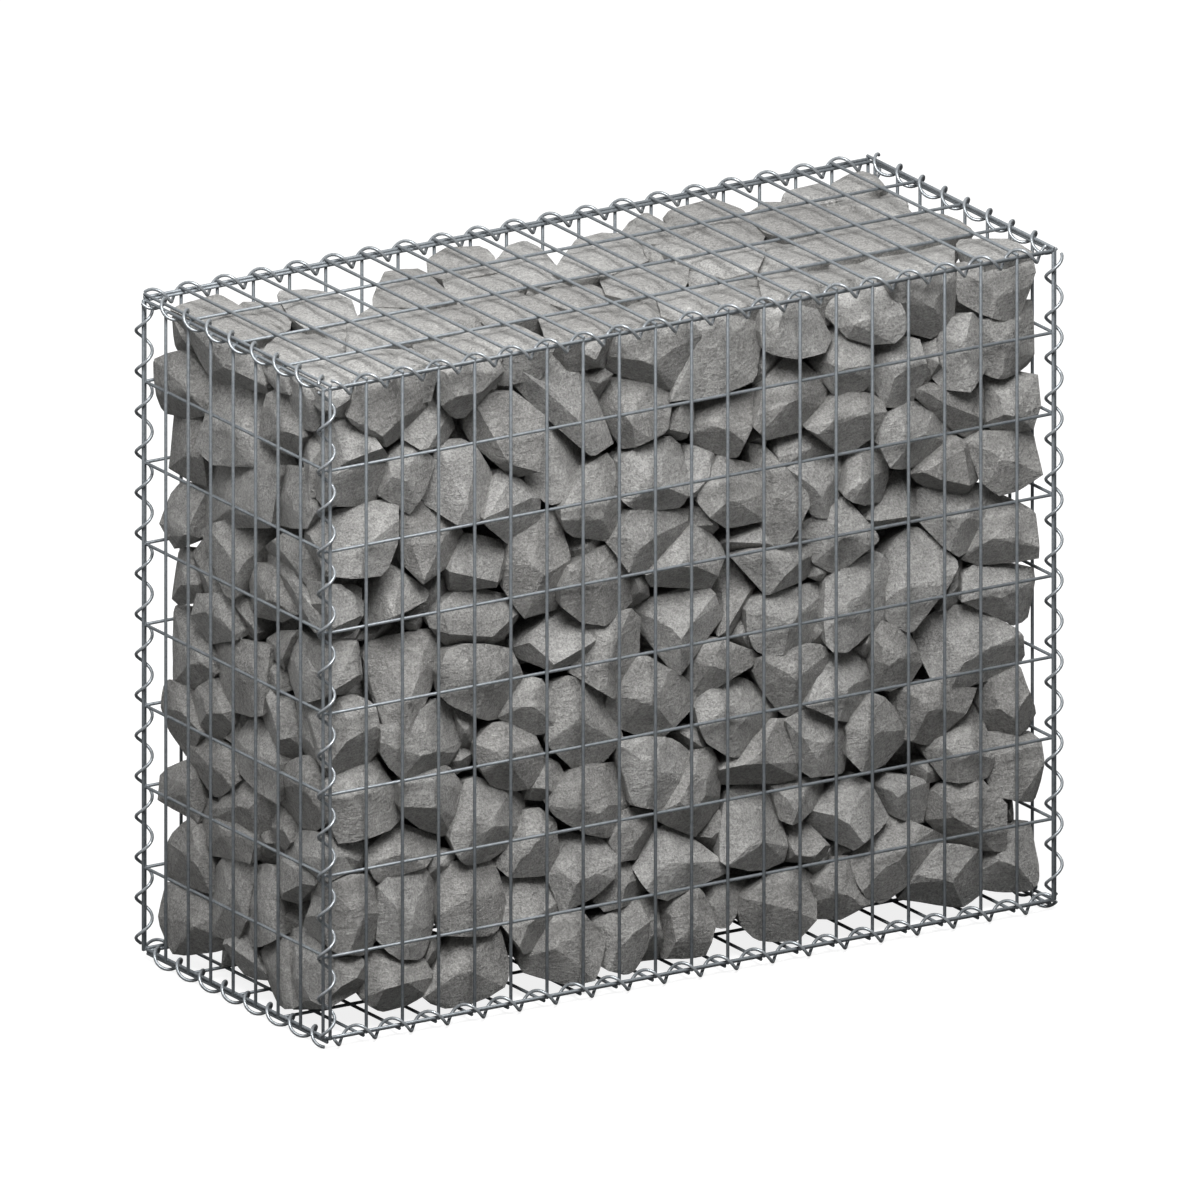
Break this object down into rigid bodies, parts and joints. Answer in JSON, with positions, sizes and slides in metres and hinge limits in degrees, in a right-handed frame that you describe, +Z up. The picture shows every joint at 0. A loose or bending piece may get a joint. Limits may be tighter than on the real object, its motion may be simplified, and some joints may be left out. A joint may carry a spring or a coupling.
{
  "type": "gabion wall",
  "caption": "Free-standing gabion wall bay: a welded wire basket laced with spiral wire along its edges and filled with crushed grey stone.",
  "frame": {"origin": "on the ground, under the middle of the basket", "axes": "+Z up, X along the wall's length, front towards -Y"},
  "size_m": [1.0313, 0.4331, 0.83],
  "materials": {
    "galvanised_wire": "dull zinc-coated wire",
    "lacing_wire": "bright zinc-coated wire",
    "stone": "matte broken stone"
  },
  "bodies": {
    "root": {"front_panel": "galvanised_wire", "back_panel": "galvanised_wire", "left_end_panel": "galvanised_wire", "right_end_panel": "galvanised_wire", "lid_panel": "galvanised_wire", "base_panel": "galvanised_wire", "front_left_spiral": "lacing_wire", "front_right_spiral": "lacing_wire", "back_left_spiral": "lacing_wire", "back_right_spiral": "lacing_wire", "top_front_spiral": "lacing_wire", "top_back_spiral": "lacing_wire", "top_left_spiral": "lacing_wire", "top_right_spiral": "lacing_wire", "bottom_front_spiral": "lacing_wire", "bottom_back_spiral": "lacing_wire", "bottom_left_spiral": "lacing_wire", "bottom_right_spiral": "lacing_wire", "stone_lift_1": "stone", "stone_lift_2": "stone", "stone_lift_3": "stone"}
  },
  "joints": []
}
